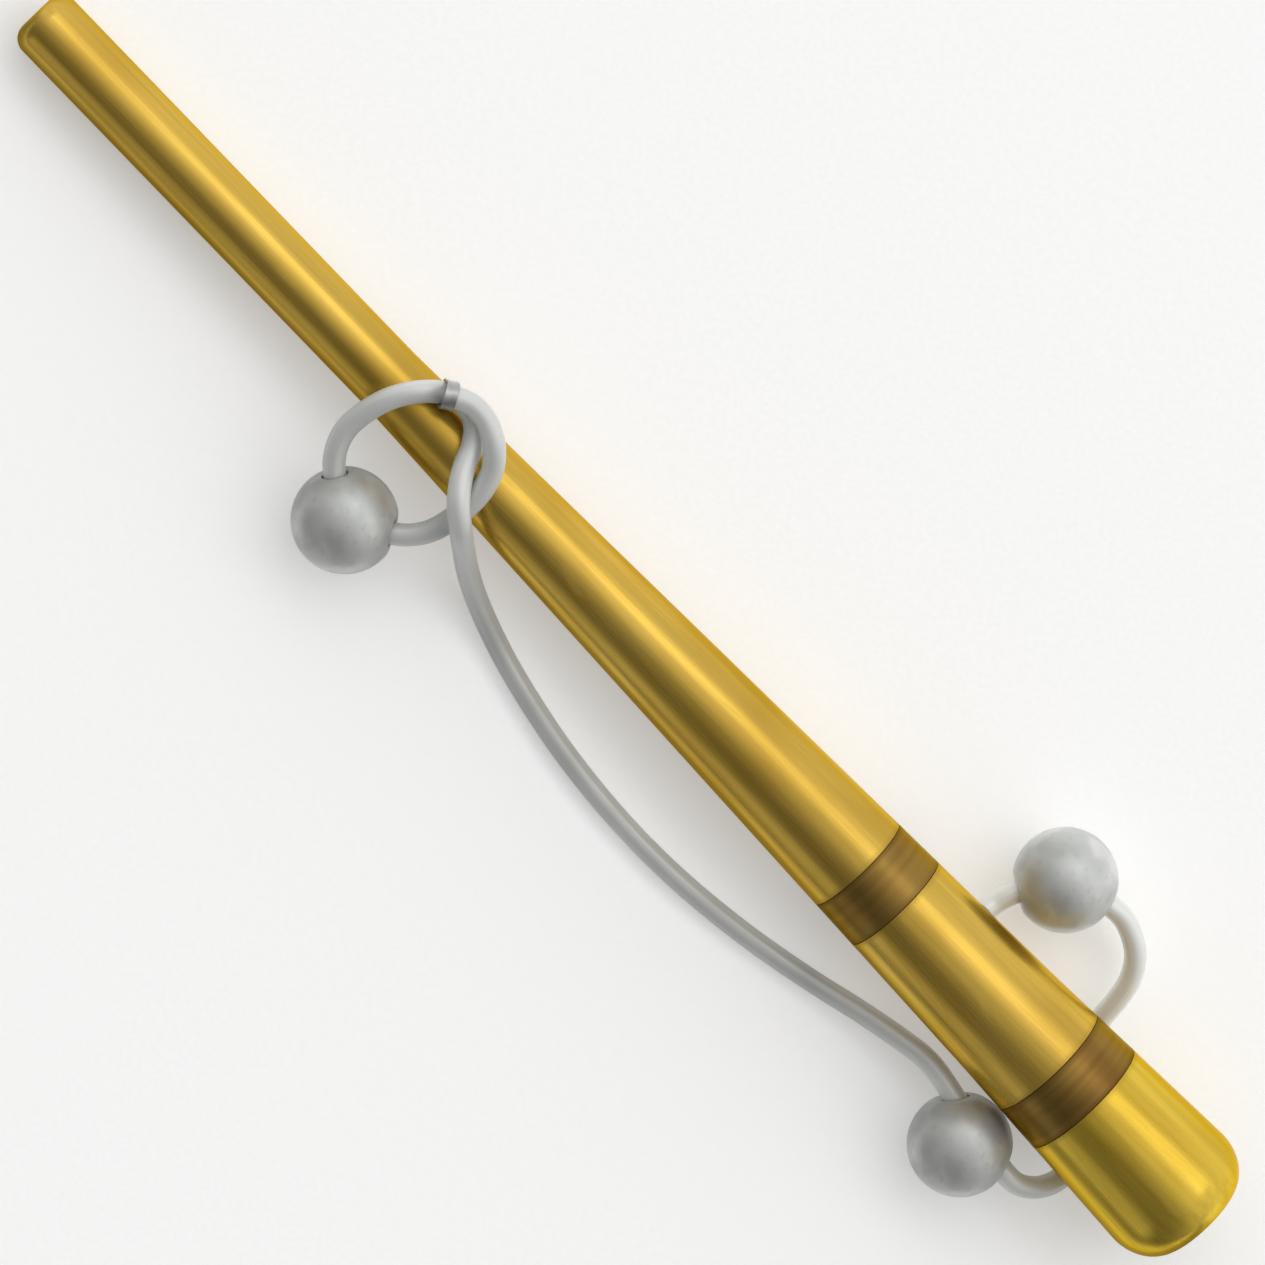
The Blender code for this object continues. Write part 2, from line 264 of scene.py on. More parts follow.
def stepped(start, end, spacing):
    """Points on the outside of the wand between two places, ends included."""
    count = max(1, math.ceil((end - start) / spacing))
    places = [start + (end - start) * index / count for index in range(count + 1)]
    return [(outer_radius(place), place) for place in places]


# ---------------------------------------------------------------- the wand's outline


def outer_radius(along):
    """The wand's radius at a distance from its tip, up to the pommel's widest ring."""
    if along <= STRAIGHT_LENGTH:
        return TIP_RADIUS
    if along <= FLARE_START:
        share = (along - STRAIGHT_LENGTH) / (FLARE_START - STRAIGHT_LENGTH)
        return TIP_RADIUS + share * (FLARE_START_RADIUS - TIP_RADIUS)
    share = min(1.0, (along - FLARE_START) / (POMMEL_WIDEST - FLARE_START))
    return FLARE_START_RADIUS + share * (POMMEL_RADIUS - FLARE_START_RADIUS)


def rounded_rim(flat_radius, full_radius, face_at, full_at, steps):
    """Quarter of an ellipse from an end's flat face to its full radius."""
    rim = []
    for step in range(steps + 1):
        angle = math.pi / 2 * step / steps
        radius = flat_radius + (full_radius - flat_radius) * math.sin(angle)
        along = full_at + (face_at - full_at) * math.cos(angle)
        rim.append((radius, along))
    return rim


def wand_matrix():
    """The place of the wand's tip and axis as it rests; local +Z runs from tip to butt."""
    slope = math.atan(REST_SLOPE)
    touch_along = TIP_RADIUS - TIP_FLAT_RADIUS
    height = TIP_RADIUS * math.cos(slope) - touch_along * math.sin(slope)
    place = Vector((-WAND_LENGTH / 2 * math.cos(slope), 0.0, height)) * MM
    return Matrix.Translation(place) @ Matrix.Rotation(math.pi / 2 - slope, 4, "Y")


# ---------------------------------------------------------------- the cord's route


def round_points(centre, radius, tilt, ball_at, half_turn, step=11.0):
    """Points on a tilted circle, to both sides of its ball, a number of degrees apart."""
    uphill = Vector((math.cos(math.radians(ball_at)), math.sin(math.radians(ball_at)), 0.0))
    across = Vector((-uphill.y, uphill.x, 0.0))
    slope = math.radians(tilt)
    outward = uphill * math.cos(slope) + Vector((0.0, 0.0, math.sin(slope)))
    count = max(2, round(2 * half_turn / step))
    points = []
    for index in range(count + 1):
        angle = math.radians(-half_turn + 2 * half_turn * index / count)
        points.append(centre + radius * (outward * math.cos(angle) + across * math.sin(angle)))
    return points


def cord_route():
    """The middle line of the whole cord, from its crimped free end to its socket in the grip."""
    table = CORD_RADIUS + TABLE_CLEARANCE
    route = [
        Vector((-62.6, 5.9, 26.6)),
        Vector((-60.3, 7.2, 26.4)),
        Vector((-57.0, 8.5, 26.5)),
        Vector((-53.2, 8.4, 27.0)),
        Vector((-50.0, 7.2, 27.1)),
        Vector((-46.8, 5.0, 26.6)),
        Vector((-44.1, 1.8, 25.1)),
        Vector((-42.4, -3.1, 23.2)),
        Vector((-42.0, -7.6, 20.9)),
    ]
    route += reversed(round_points(LOOP_CENTRE, LOOP_RADIUS, -LOOP_TILT, LOOP_BALL_AT, 86.0))
    route += [
        Vector((-70.1, -6.3, 19.7)),
        Vector((-68.7, -1.6, 21.7)),
        Vector((-66.0, 2.7, 22.6)),
        Vector((-62.4, 6.0, 21.4)),
        Vector((-58.9, 7.3, 20.9)),
        Vector((-55.7, 7.3, 21.0)),
        Vector((-52.8, 5.8, 21.7)),
        Vector((-50.4, 2.7, 22.7)),
        Vector((-49.0, -0.9, 24.0)),
        Vector((-46.9, -4.5, 25.4)),
        Vector((-44.1, -7.8, 26.2)),
        Vector((-40.5, -10.5, 24.8)),
        Vector((-36.2, -13.1, 19.6)),
        Vector((-31.2, -15.8, 12.4)),
        Vector((-24.6, -18.7, 6.8)),
        Vector((-15.9, -21.7, 3.3)),
        Vector((-6.2, -24.4, table)),
        Vector((11.5, -27.8, table)),
        Vector((30.7, -29.5, table)),
        Vector((48.0, -29.3, table)),
        Vector((65.8, -27.4, table)),
        Vector((82.8, -24.2, 3.3)),
        Vector((96.0, -20.9, 6.0)),
        Vector((105.8, -18.8, 8.8)),
        Vector((111.0, -18.0, 10.6)),
    ]
    route += [RUN_START.lerp(RUN_END, share / 4) for share in range(5)]
    route += [
        Vector((144.6, -22.5, 10.9)),
        Vector((148.4, -20.0, 9.6)),
        Vector((150.9, -15.7, 7.4)),
        Vector((151.3, -10.4, 5.0)),
        Vector((148.8, -5.2, 3.0)),
        Vector((145.0, -0.4, table)),
        Vector((140.4, 4.4, table)),
        Vector((136.2, 9.2, table)),
        Vector((133.4, 14.4, 3.0)),
        Vector((132.4, 19.6, 4.3)),
        Vector((130.6, 24.8, 6.2)),
        Vector((126.6, 29.4, 8.3)),
    ]
    route += round_points(BOW_CENTRE, BOW_RADIUS, BOW_TILT, BOW_BALL_AT, BOW_HALF_TURN)
    route += [SOCKET_MOUTH, SOCKET_MOUTH + SOCKET_INWARD * (SOCKET_DEPTH - SEAM) / 2]
    route += [SOCKET_MOUTH + SOCKET_INWARD * (SOCKET_DEPTH - SEAM)]
    return route


def smooth_curve(route):
    """A smooth curve through the route's points: a Catmull-Rom spline with centripetal knots."""
    first = route[0] * 2 - route[1]
    last = route[-1] * 2 - route[-2]
    knots = [first, *route, last]
    fine = []
    for index in range(1, len(knots) - 2):
        a, b, c, d = knots[index - 1 : index + 3]
        t0 = 0.0
        t1 = t0 + math.sqrt((b - a).length)
        t2 = t1 + math.sqrt((c - b).length)
        t3 = t2 + math.sqrt((d - c).length)
        for part in range(CURVE_PARTS):
            t = t1 + (t2 - t1) * part / CURVE_PARTS
            ab = a.lerp(b, (t - t0) / (t1 - t0))
            bc = b.lerp(c, (t - t1) / (t2 - t1))
            cd = c.lerp(d, (t - t2) / (t3 - t2))
            abc = ab.lerp(bc, (t - t0) / (t2 - t0))
            bcd = bc.lerp(cd, (t - t1) / (t3 - t1))
            fine.append(abc.lerp(bcd, (t - t1) / (t2 - t1)))
    fine.append(route[-1].copy())
    return fine


def resampled(fine, spacing):
    """Evenly spaced points along a fine curve, with the length gone at each one."""
    gone = [0.0]
    for before, after in zip(fine, fine[1:]):
        gone.append(gone[-1] + (after - before).length)
    count = round(gone[-1] / spacing)
    result = []
    at = 0
    for index in range(count + 1):
        want = gone[-1] * index / count
        while at < len(fine) - 2 and gone[at + 1] < want:
            at += 1
        share = (want - gone[at]) / (gone[at + 1] - gone[at])
        result.append((fine[at].lerp(fine[at + 1], share), want))
    return result, gone[-1]


def tube_mesh(name, places, radius_at, sides):
    """A tube along (point, length gone) pairs.  Its "straight" attribute holds each corner's
    place on the same cord pulled straight, for the material."""
    shape = bmesh.new()
    straight = shape.verts.layers.float_vector.new("straight")
    heading = (places[1][0] - places[0][0]).normalized()
    normal = heading.cross(Vector((0.0, 0.0, 1.0))).normalized()
    rings = []
    last = len(places) - 1
    for index, (point, gone) in enumerate(places):
        following = places[min(index + 1, last)][0] - places[max(index - 1, 0)][0]
        following.normalize()
        normal = (normal - following * normal.dot(following)).normalized()
        binormal = following.cross(normal)
        radius = radius_at(gone)
        if radius < 1e-6 or index == last:
            pole = shape.verts.new(point * MM)
            pole[straight] = (0.0, 0.0, gone * MM)
            if radius < 1e-6:
                rings.append([pole])
                continue
        ring = []
        for side in range(sides):
            angle = 2 * math.pi * side / sides
            offset = normal * math.cos(angle) + binormal * math.sin(angle)
            corner = shape.verts.new((point + offset * radius) * MM)
            corner[straight] = (
                CORD_RADIUS * math.cos(angle) * MM,
                CORD_RADIUS * math.sin(angle) * MM,
                gone * MM,
            )
            ring.append(corner)
        rings.append(ring)
        if index == last:
            rings.append([pole])
    for first, second in zip(rings, rings[1:]):
        for side in range(sides):
            following = (side + 1) % sides
            if len(first) == 1:
                corners = (first[0], second[following], second[side])
            elif len(second) == 1:
                corners = (first[side], first[following], second[0])
            else:
                corners = (first[side], first[following], second[following], second[side])
            shape.faces.new(corners)
    bmesh.ops.recalc_face_normals(shape, faces=shape.faces)
    mesh = bpy.data.meshes.new(name)
    shape.to_mesh(mesh)
    shape.free()
    return mesh


def make_cord():
    """The cord, with a softly rounded free end."""
    places, length = resampled(smooth_curve(cord_route()), CORD_RING_SPACING)
    end, end_gone = places[0][0], places[2][1]
    head = [
        (end.lerp(places[2][0], share * CORD_CAP / end_gone), share * CORD_CAP)
        for share in (0.0, 0.05, 0.15, 0.32, 0.55, 0.8)
    ]
    places = head + [place for place in places if place[1] > CORD_CAP]

    def radius_at(gone):
        if gone >= CORD_CAP:
            return CORD_RADIUS
        return CORD_RADIUS * math.sqrt(max(0.0, 1 - (1 - gone / CORD_CAP) ** 2))

    mesh = tube_mesh("silver_cord", places, radius_at, CORD_SIDES)
    smooth_shading(mesh, 60)
    cord = new_object("silver_cord", mesh)
    path = [point * MM for point, _ in places]
    return cord, path, length * MM


cord, cord_path, cord_length = make_cord()


# ---------------------------------------------------------------- the turned wand


def turned_piece(name, outline, closed):
    mesh = turned_mesh(name, outline, closed)
    mesh.transform(wand_matrix())
    smooth_shading(mesh, 40)
    return new_object(name, mesh)


def sleeve(start, end, spacing):
    """A ring on the core, with softly rounded outer edges."""
    bore = CORE_RADIUS + CORE_CLEARANCE
    corners = softened(
        [(bore, end), (bore, start), (outer_radius(start), start)]
        + [(outer_radius(end), end)],
        closed=True,
    )
    result = []
    for index, point in enumerate(corners):
        result.append(point)
        after = corners[(index + 1) % len(corners)]
        if min(point[0], after[0]) > bore + 2 and after[1] - point[1] > spacing:
            result += stepped(point[1], after[1], spacing)[1:-1]
    return result


def make_shaft():
    bore = CORE_RADIUS + CORE_CLEARANCE
    end = UPPER_BAND[0] - JOINT_GAP / 2
    outline = [(0.0, 0.0)]
    outline += rounded_rim(TIP_FLAT_RADIUS, TIP_RADIUS, 0.0, TIP_RADIUS - TIP_FLAT_RADIUS, 16)
    outline += stepped(TIP_RADIUS, STRAIGHT_LENGTH, 6.0)
    outline += stepped(STRAIGHT_LENGTH, end - EDGE_ROUND, 6.0)[1:]
    outline += softened(
        [(outer_radius(end - EDGE_ROUND), end - EDGE_ROUND), (outer_radius(end), end), (bore, end)]
    )[1:]
    outline += [(bore, CORE_START), (0.0, CORE_START)]
    return turned_piece("gold_shaft", outline, False)


def make_pommel():
    bore = CORE_RADIUS + CORE_CLEARANCE
    start = LOWER_BAND[1] + JOINT_GAP / 2
    outline = [(0.0, CORE_END), (bore, CORE_END)]
    outline += softened(
        [(bore, start), (outer_radius(start), start), (outer_radius(start + 3), start + 3)]
    )
    outline += stepped(start + 3, POMMEL_WIDEST, 3.0)[1:-1]
    rim = rounded_rim(BUTT_FLAT_RADIUS, POMMEL_RADIUS, WAND_LENGTH, POMMEL_WIDEST, 28)
    outline += reversed(rim)
    outline += [(BUTT_FLAT_RADIUS * 0.5, WAND_LENGTH), (0.0, WAND_LENGTH)]
    return turned_piece("gold_pommel", outline, False)


def rod(name, start, end, radius):
    """A plain cylinder between two points, used as a cutter."""
    along = end - start
    bpy.ops.mesh.primitive_cylinder_add(
        vertices=ROD_SIDES, radius=radius * MM, depth=along.length * MM
    )
    made = bpy.context.object
    made.name = name
    turn = along.to_track_quat("Z", "X").to_matrix().to_4x4()
    made.matrix_world = Matrix.Translation((start + end) / 2 * MM) @ turn
    return made


def between(start, end, spacing):
    """A sleeve that stops half a joint gap short of its neighbours."""
    return sleeve(start + JOINT_GAP / 2, end - JOINT_GAP / 2, spacing)


shaft = make_shaft()
upper_band = turned_piece("bronze_band_upper", between(*UPPER_BAND, 2.5), True)
grip = turned_piece("gold_grip", between(UPPER_BAND[1], LOWER_BAND[0], 2.0), True)
cut(
    grip,
    rod(
        "socket_cutter",
        SOCKET_MOUTH - SOCKET_INWARD * 8.0,
        SOCKET_MOUTH + SOCKET_INWARD * (SOCKET_DEPTH + SEAM),
        BUSH_RADIUS + SEAM,
    ),
)
smooth_shading(grip.data, 40)
lower_band = turned_piece("bronze_band_lower", between(*LOWER_BAND, 2.5), True)
pommel = make_pommel()


# ---------------------------------------------------------------- bush, crimp and balls


def bush_matrix():
    turn = (-SOCKET_INWARD).to_track_quat("Z", "X").to_matrix().to_4x4()
    return Matrix.Translation(SOCKET_MOUTH * MM) @ turn


def crimp_matrix():
    turn = Matrix.Rotation(math.radians(CRIMP_HEADING), 4, "Z")
    return Matrix.Translation(CRIMP_CENTRE * MM) @ turn


def make_bush():
    """A turned bush with a rounded lip."""
    bore = CORD_RADIUS + SEAM
    outline = softened(
        [(bore, -BUSH_PROUD), (BUSH_RADIUS, -BUSH_PROUD), (BUSH_RADIUS, SOCKET_DEPTH)]
        + [(bore, SOCKET_DEPTH)],
        size=0.4,
        closed=True,
    )
    mesh = turned_mesh("socket_bush", [(radius, -deep) for radius, deep in outline], True, 64)
    mesh.transform(bush_matrix())
    smooth_shading(mesh, 40)
    return new_object("socket_bush", mesh)


def make_crimp():
    """A rolled band round two stacked strands: an oblong ring with rounded rims and a pressed
    waist."""
    inner = CORD_RADIUS + CRIMP_CLEARANCE
    half_stack = CRIMP_STACK / 2
    half_length = CRIMP_LENGTH / 2
    shoulder = half_length * 0.93
    arc_steps = 24
    side_steps = 6
    section_steps = 8
    path = []
    for side, first in ((1.0, 0.0), (-1.0, math.pi)):
        for step in range(arc_steps + 1):
            angle = first + math.pi * step / arc_steps
            outward = Vector((0.0, math.cos(angle), math.sin(angle)))
            path.append((Vector((0.0, 0.0, side * half_stack)), outward))
        for step in range(1, side_steps):
            lift = side * (half_stack - CRIMP_STACK * step / side_steps)
            path.append((Vector((0.0, 0.0, lift)), Vector((0.0, -side, 0.0))))
    section = []
    for step in range(section_steps + 1):
        share = -1 + 2 * step / section_steps
        waist = CRIMP_WAIST * math.cos(share * math.pi / 2) ** 2
        rim = CRIMP_RIM_DROP if step in (0, section_steps) else 0.0
        section.append((share * half_length, CRIMP_WALL - waist - rim))
    section.insert(1, (-shoulder, CRIMP_WALL))
    section.insert(-1, (shoulder, CRIMP_WALL))
    section += [(half_length, CRIMP_BEVEL), (shoulder, 0.0)]
    section += [(-shoulder, 0.0), (-half_length, CRIMP_BEVEL)]
    shape = bmesh.new()
    rings = []
    for centre, outward in path:
        ring = []
        for ahead, rise in section:
            corner = centre + outward * (inner + rise) + Vector((ahead, 0.0, 0.0))
            ring.append(shape.verts.new(corner * MM))
        rings.append(ring)
    for index, ring in enumerate(rings):
        other = rings[(index + 1) % len(rings)]
        for step in range(len(section)):
            following = (step + 1) % len(section)
            shape.faces.new((ring[step], other[step], other[following], ring[following]))
    bmesh.ops.recalc_face_normals(shape, faces=shape.faces)
    mesh = bpy.data.meshes.new("silver_crimp")
    shape.to_mesh(mesh)
    shape.free()
    mesh.transform(crimp_matrix())
    smooth_shading(mesh, 50)
    return new_object("silver_crimp", mesh)


def ring_cutter(centre, radius, tilt, ball_at):
    """The cord's round, made wider by the bore's clearance."""
    bpy.ops.mesh.primitive_torus_add(
        major_radius=radius * MM,
        minor_radius=(CORD_RADIUS + BORE_CLEARANCE) * MM,
        major_segments=180,
        minor_segments=40,
    )
    made = bpy.context.object
    turn = Matrix.Rotation(math.radians(ball_at), 4, "Z")
    tip_up = Matrix.Rotation(math.radians(-tilt), 4, "Y")
    made.matrix_world = Matrix.Translation(centre * MM) @ turn @ tip_up
    return made


def make_ball(name, centre, bore_points, cutter):
    """A ball whose bore has softly dished mouths."""
    bore = CORD_RADIUS + BORE_CLEARANCE
    bpy.ops.mesh.primitive_ico_sphere_add(subdivisions=6, radius=BALL_RADIUS * MM)
    made = bpy.context.object
    made.name = name
    made.data.name = name
    shape = bmesh.new()
    shape.from_mesh(made.data)
    line = [(point - centre) * MM for point in bore_points]
    for vert in shape.verts:
        direction = vert.co.normalized()
        away = min((vert.co - point).length for point in line) / MM
        vert.co = direction * BALL_RADIUS * MM
        if away < bore + DISH_WIDTH:
            share = 1 - (away - bore) / DISH_WIDTH
            vert.co -= direction * DISH_DEPTH * MM * min(share, 1.6) ** 2
    shape.to_mesh(made.data)
    shape.free()
    made.matrix_world = Matrix.Translation(centre * MM)
    bpy.context.view_layer.update()
    cut(made, cutter)
    smooth_shading(made.data, 62)
    return made


bush = make_bush()
crimp = make_crimp()
ring_ball = make_ball(
    "silver_ball_ring",
    LOOP_BALL,
    round_points(LOOP_CENTRE, LOOP_RADIUS, -LOOP_TILT, LOOP_BALL_AT, 70.0, 2.0),
    ring_cutter(LOOP_CENTRE, LOOP_RADIUS, -LOOP_TILT, LOOP_BALL_AT),
)
side_ball = make_ball(
    "silver_ball_side",
    BOW_BALL,
    round_points(BOW_CENTRE, BOW_RADIUS, BOW_TILT, BOW_BALL_AT, 50.0, 2.0),
    ring_cutter(BOW_CENTRE, BOW_RADIUS, BOW_TILT, BOW_BALL_AT),
)
run_middle = RUN_START.lerp(RUN_END, 0.5)
run_heading = (RUN_END - RUN_START).normalized()
lower_ball = make_ball(
    "silver_ball_lower",
    RUN_BALL,
    [run_middle + run_heading * 0.5 * step for step in range(-32, 33)],
    rod(
        "lower_cutter",
        run_middle - run_heading * 2 * BALL_RADIUS,
        run_middle + run_heading * 2 * BALL_RADIUS,
        CORD_RADIUS + BORE_CLEARANCE,
    ),
)


for piece in (shaft, upper_band, grip, lower_band, pommel):
    note_own_place(piece, wand_matrix())
note_own_place(bush, bush_matrix())
note_own_place(crimp, crimp_matrix())
for piece in (ring_ball, side_ball, lower_ball):
    note_own_place(piece, Matrix.Identity(4))


# ---------------------------------------------------------------- materials


class Finish:
    """A material built up from nodes."""

    def __init__(self, name, metallic, specular=0.5):
        self.material = bpy.data.materials.new(name)
        self.material.use_nodes = True
        self.tree = self.material.node_tree
        self.shader = self.tree.nodes["Principled BSDF"]
        self.shader.inputs["Metallic"].default_value = metallic
        self.shader.inputs["Specular IOR Level"].default_value = specular

    def node(self, kind, **settings):
        made = self.tree.nodes.new(kind)
        for key, value in settings.items():
            setattr(made, key, value)
        return made

    def link(self, out, socket):
        self.tree.links.new(out, socket)

    def place(self, attribute=None):
        """The surface's own coordinates in metres."""
        if attribute:
            return self.node("ShaderNodeAttribute", attribute_name=attribute).outputs["Vector"]
        return self.node("ShaderNodeTexCoord").outputs["Object"]

    def noise(self, place, scale, detail=2.0, rough=0.5, turn=(0, 0, 0), shift=(0, 0, 0)):
        """Smooth noise over a place stretched by the scale, which is in cycles per metre."""
        mapping = self.node("ShaderNodeMapping")
        mapping.inputs["Scale"].default_value = scale
        mapping.inputs["Rotation"].default_value = [math.radians(part) for part in turn]
        mapping.inputs["Location"].default_value = shift
        self.link(place, mapping.inputs["Vector"])
        texture = self.node("ShaderNodeTexNoise")
        texture.inputs["Scale"].default_value = 1.0
        texture.inputs["Detail"].default_value = detail
        texture.inputs["Roughness"].default_value = rough
        self.link(mapping.outputs["Vector"], texture.inputs["Vector"])
        return texture.outputs["Fac"]

    def spread(self, value, low, high, to_low=0.0, to_high=1.0):
        """The value's stretch from low to high, put between two other numbers."""
        made = self.node("ShaderNodeMapRange", interpolation_type="SMOOTHSTEP")
        sockets = ("From Min", "From Max", "To Min", "To Max")
        for socket, number in zip(sockets, (low, high, to_low, to_high)):
            made.inputs[socket].default_value = number
        self.link(value, made.inputs["Value"])
        return made.outputs["Result"]

    def maths(self, kind, first, second):
        made = self.node("ShaderNodeMath", operation=kind)
        for socket, value in zip(made.inputs, (first, second)):
            if isinstance(value, float):
                socket.default_value = value
            else:
                self.link(value, socket)
        return made.outputs["Value"]

    def ramp(self, value, *stops):
        made = self.node("ShaderNodeValToRGB")
        made.color_ramp.interpolation = "EASE"
        elements = made.color_ramp.elements
        while len(elements) < len(stops):
            elements.new(0.5)
        for element, (at, colour) in zip(elements, stops):
            element.position = at
            element.color = (*colour, 1.0)
        self.link(value, made.inputs["Fac"])
        return made.outputs["Color"]

    def mix(self, factor, first, second):
        """Two colours mixed; inputs 0, 6 and 7 are a colour mix's factor and its two colours."""
        made = self.node("ShaderNodeMix", data_type="RGBA")
        for index, value in ((0, factor), (6, first), (7, second)):
            socket = made.inputs[index]
            if isinstance(value, (float, int)):
                socket.default_value = value
            elif isinstance(value, tuple):
                socket.default_value = (*value, 1.0)
            else:
                self.link(value, socket)
        return made.outputs[2]

    def bump(self, height, distance, strength=1.0, under=None):
        made = self.node("ShaderNodeBump")
        made.inputs["Strength"].default_value = strength
        made.inputs["Distance"].default_value = distance
        self.link(height, made.inputs["Height"])
        if under:
            self.link(under, made.inputs["Normal"])
        return made.outputs["Normal"]

    def along(self, place):
        """How far along the wand or the cord a place is, in metres."""
        parts = self.node("ShaderNodeSeparateXYZ")
        self.link(place, parts.inputs["Vector"])
        return parts.outputs["Z"]

    def near_seams(self, place, seams, reach):
        """1 at each seam, falling to 0 at the reach, in millimetres along the wand."""
        along = self.along(place)
        grime = None
        for seam in seams:
            away = self.maths("ABSOLUTE", self.maths("SUBTRACT", along, seam * MM), 0.0)
            close = self.spread(away, 0.0, reach * MM, 1.0, 0.0)
            grime = close if grime is None else self.maths("MAXIMUM", grime, close)
        return grime

    def give(self, *objects):
        for item in objects:
            item.data.materials.clear()
            item.data.materials.append(self.material)


# A gilt or bronze surface's tint at a grazing angle.
WARM_EDGE = (0.90, 0.70, 0.34)


def polished_metal(
    name, tones, roughness, seams, scuffs=0.1, turned_lines=False, own="own", edge=WARM_EDGE
):
    """Satin metal: clouded tone, long polishing streaks, a fine brushed grain, faint scuffs and
    dull grime against the seams."""
    finish = Finish(name, 1.0)
    finish.shader.inputs["Specular Tint"].default_value = (*edge, 1.0)
    place = finish.place(own)
    clouds = finish.noise(place, (34.0, 34.0, 13.0), 3.0, 0.55)
    if turned_lines:
        streaks = finish.noise(place, (25.0, 25.0, 620.0), 2.0)
        grain = finish.noise(place, (60.0, 60.0, 5200.0), 2.0)
    else:
        streaks = finish.noise(place, (330.0, 330.0, 7.0), 3.0, 0.6)
        grain = finish.noise(place, (2400.0, 2400.0, 45.0), 2.0)
    dark, middle, pale = tones
    colour = finish.ramp(clouds, (0.30, dark), (0.52, middle), (0.72, pale))
    shade = finish.spread(streaks, 0.3, 0.7, 0.86, 1.08)
    shaded = finish.node("ShaderNodeVectorMath", operation="SCALE")
    finish.link(colour, shaded.inputs[0])
    finish.link(shade, shaded.inputs["Scale"])
    colour = shaded.outputs["Vector"]
    grime = finish.near_seams(place, seams, 1.6)
    grime = finish.maths("MULTIPLY", grime, 0.30)
    colour = finish.mix(grime, colour, tuple(part * 0.45 for part in dark))
    finish.link(colour, finish.shader.inputs["Base Color"])

    scuff = finish.noise(place, (1500.0, 90.0, 60.0), 1.0, 0.5, (0.0, 24.0, 0.0))
    scuff = finish.spread(scuff, 0.66, 0.74, 0.0, scuffs)
    value = finish.spread(grain, 0.3, 0.7, roughness - 0.035, roughness + 0.035)
    value = finish.maths("ADD", value, scuff)
    value = finish.maths("ADD", value, finish.spread(clouds, 0.35, 0.7, 0.04, -0.02))
    value = finish.maths("ADD", value, finish.maths("MULTIPLY", grime, 0.35))
    finish.link(value, finish.shader.inputs["Roughness"])

    fine = finish.bump(grain, 0.000012, 0.6)
    finish.link(finish.bump(streaks, 0.00003, 0.5, fine), finish.shader.inputs["Normal"])
    return finish


GOLD_TONES = ((0.53, 0.325, 0.048), (0.62, 0.405, 0.072), (0.69, 0.48, 0.11))
POMMEL_TONES = ((0.61, 0.40, 0.045), (0.70, 0.49, 0.065), (0.77, 0.57, 0.09))
BRONZE_TONES = ((0.19, 0.095, 0.024), (0.265, 0.160, 0.038), (0.33, 0.225, 0.06))

shaft_gold = polished_metal("shaft_gold", GOLD_TONES, 0.27, [UPPER_BAND[0]])
grip_gold = polished_metal("grip_gold", GOLD_TONES, 0.27, [UPPER_BAND[1], LOWER_BAND[0]])
pommel_gold = polished_metal("pommel_gold", POMMEL_TONES, 0.22, [LOWER_BAND[1]], 0.06)
upper_bronze = polished_metal("upper_bronze", BRONZE_TONES, 0.33, UPPER_BAND, 0.08, True)
lower_bronze = polished_metal("lower_bronze", BRONZE_TONES, 0.33, LOWER_BAND, 0.08, True)
bush_bronze = polished_metal("bush_bronze", BRONZE_TONES, 0.36, [0.0], 0.08, True)
shaft_gold.give(shaft)
grip_gold.give(grip)
pommel_gold.give(pommel)
upper_bronze.give(upper_band)
lower_bronze.give(lower_band)
bush_bronze.give(bush)


def satin_silver(name, tones, roughness, metallic=1.0):
    """Clouded satin silver with a fine blasted grain."""
    finish = Finish(name, metallic)
    place = finish.place("own")
    dark, middle, pale = tones
    clouds = finish.noise(place, (95.0, 95.0, 95.0), 2.5, 0.5)
    grain = finish.noise(place, (3600.0, 3600.0, 3600.0), 2.0, 0.6)
    spots = finish.noise(place, (420.0, 420.0, 420.0), 3.0, 0.6, shift=(3.1, 1.7, 0.4))
    colour = finish.ramp(clouds, (0.32, dark), (0.52, middle), (0.70, pale))
    spot_tone = tuple(part * 0.8 for part in dark)
    colour = finish.mix(finish.spread(spots, 0.56, 0.74, 0.0, 0.35), colour, spot_tone)
    finish.link(colour, finish.shader.inputs["Base Color"])
    value = finish.spread(clouds, 0.3, 0.7, roughness + 0.06, roughness - 0.05)
    value = finish.maths("ADD", value, finish.spread(grain, 0.3, 0.7, -0.03, 0.03))
    finish.link(value, finish.shader.inputs["Roughness"])
    finish.link(finish.bump(grain, 0.000008, 0.5), finish.shader.inputs["Normal"])
    return finish


BALL_TONES = ((0.44, 0.45, 0.43), (0.55, 0.56, 0.54), (0.68, 0.685, 0.67))
CRIMP_TONES = ((0.34, 0.345, 0.335), (0.42, 0.425, 0.415), (0.50, 0.505, 0.49))
satin_silver("ball_silver", BALL_TONES, 0.46, 0.5).give(ring_ball, side_ball, lower_ball)
satin_silver("crimp_silver", CRIMP_TONES, 0.36).give(crimp)


# In metres from the cord's free end: painted light makes the cord a little paler up to the first,
# and much paler from the second.
PAINTED_LIGHT_LOOP_TO = 0.17
PAINTED_LIGHT_RUN_FROM = 0.27


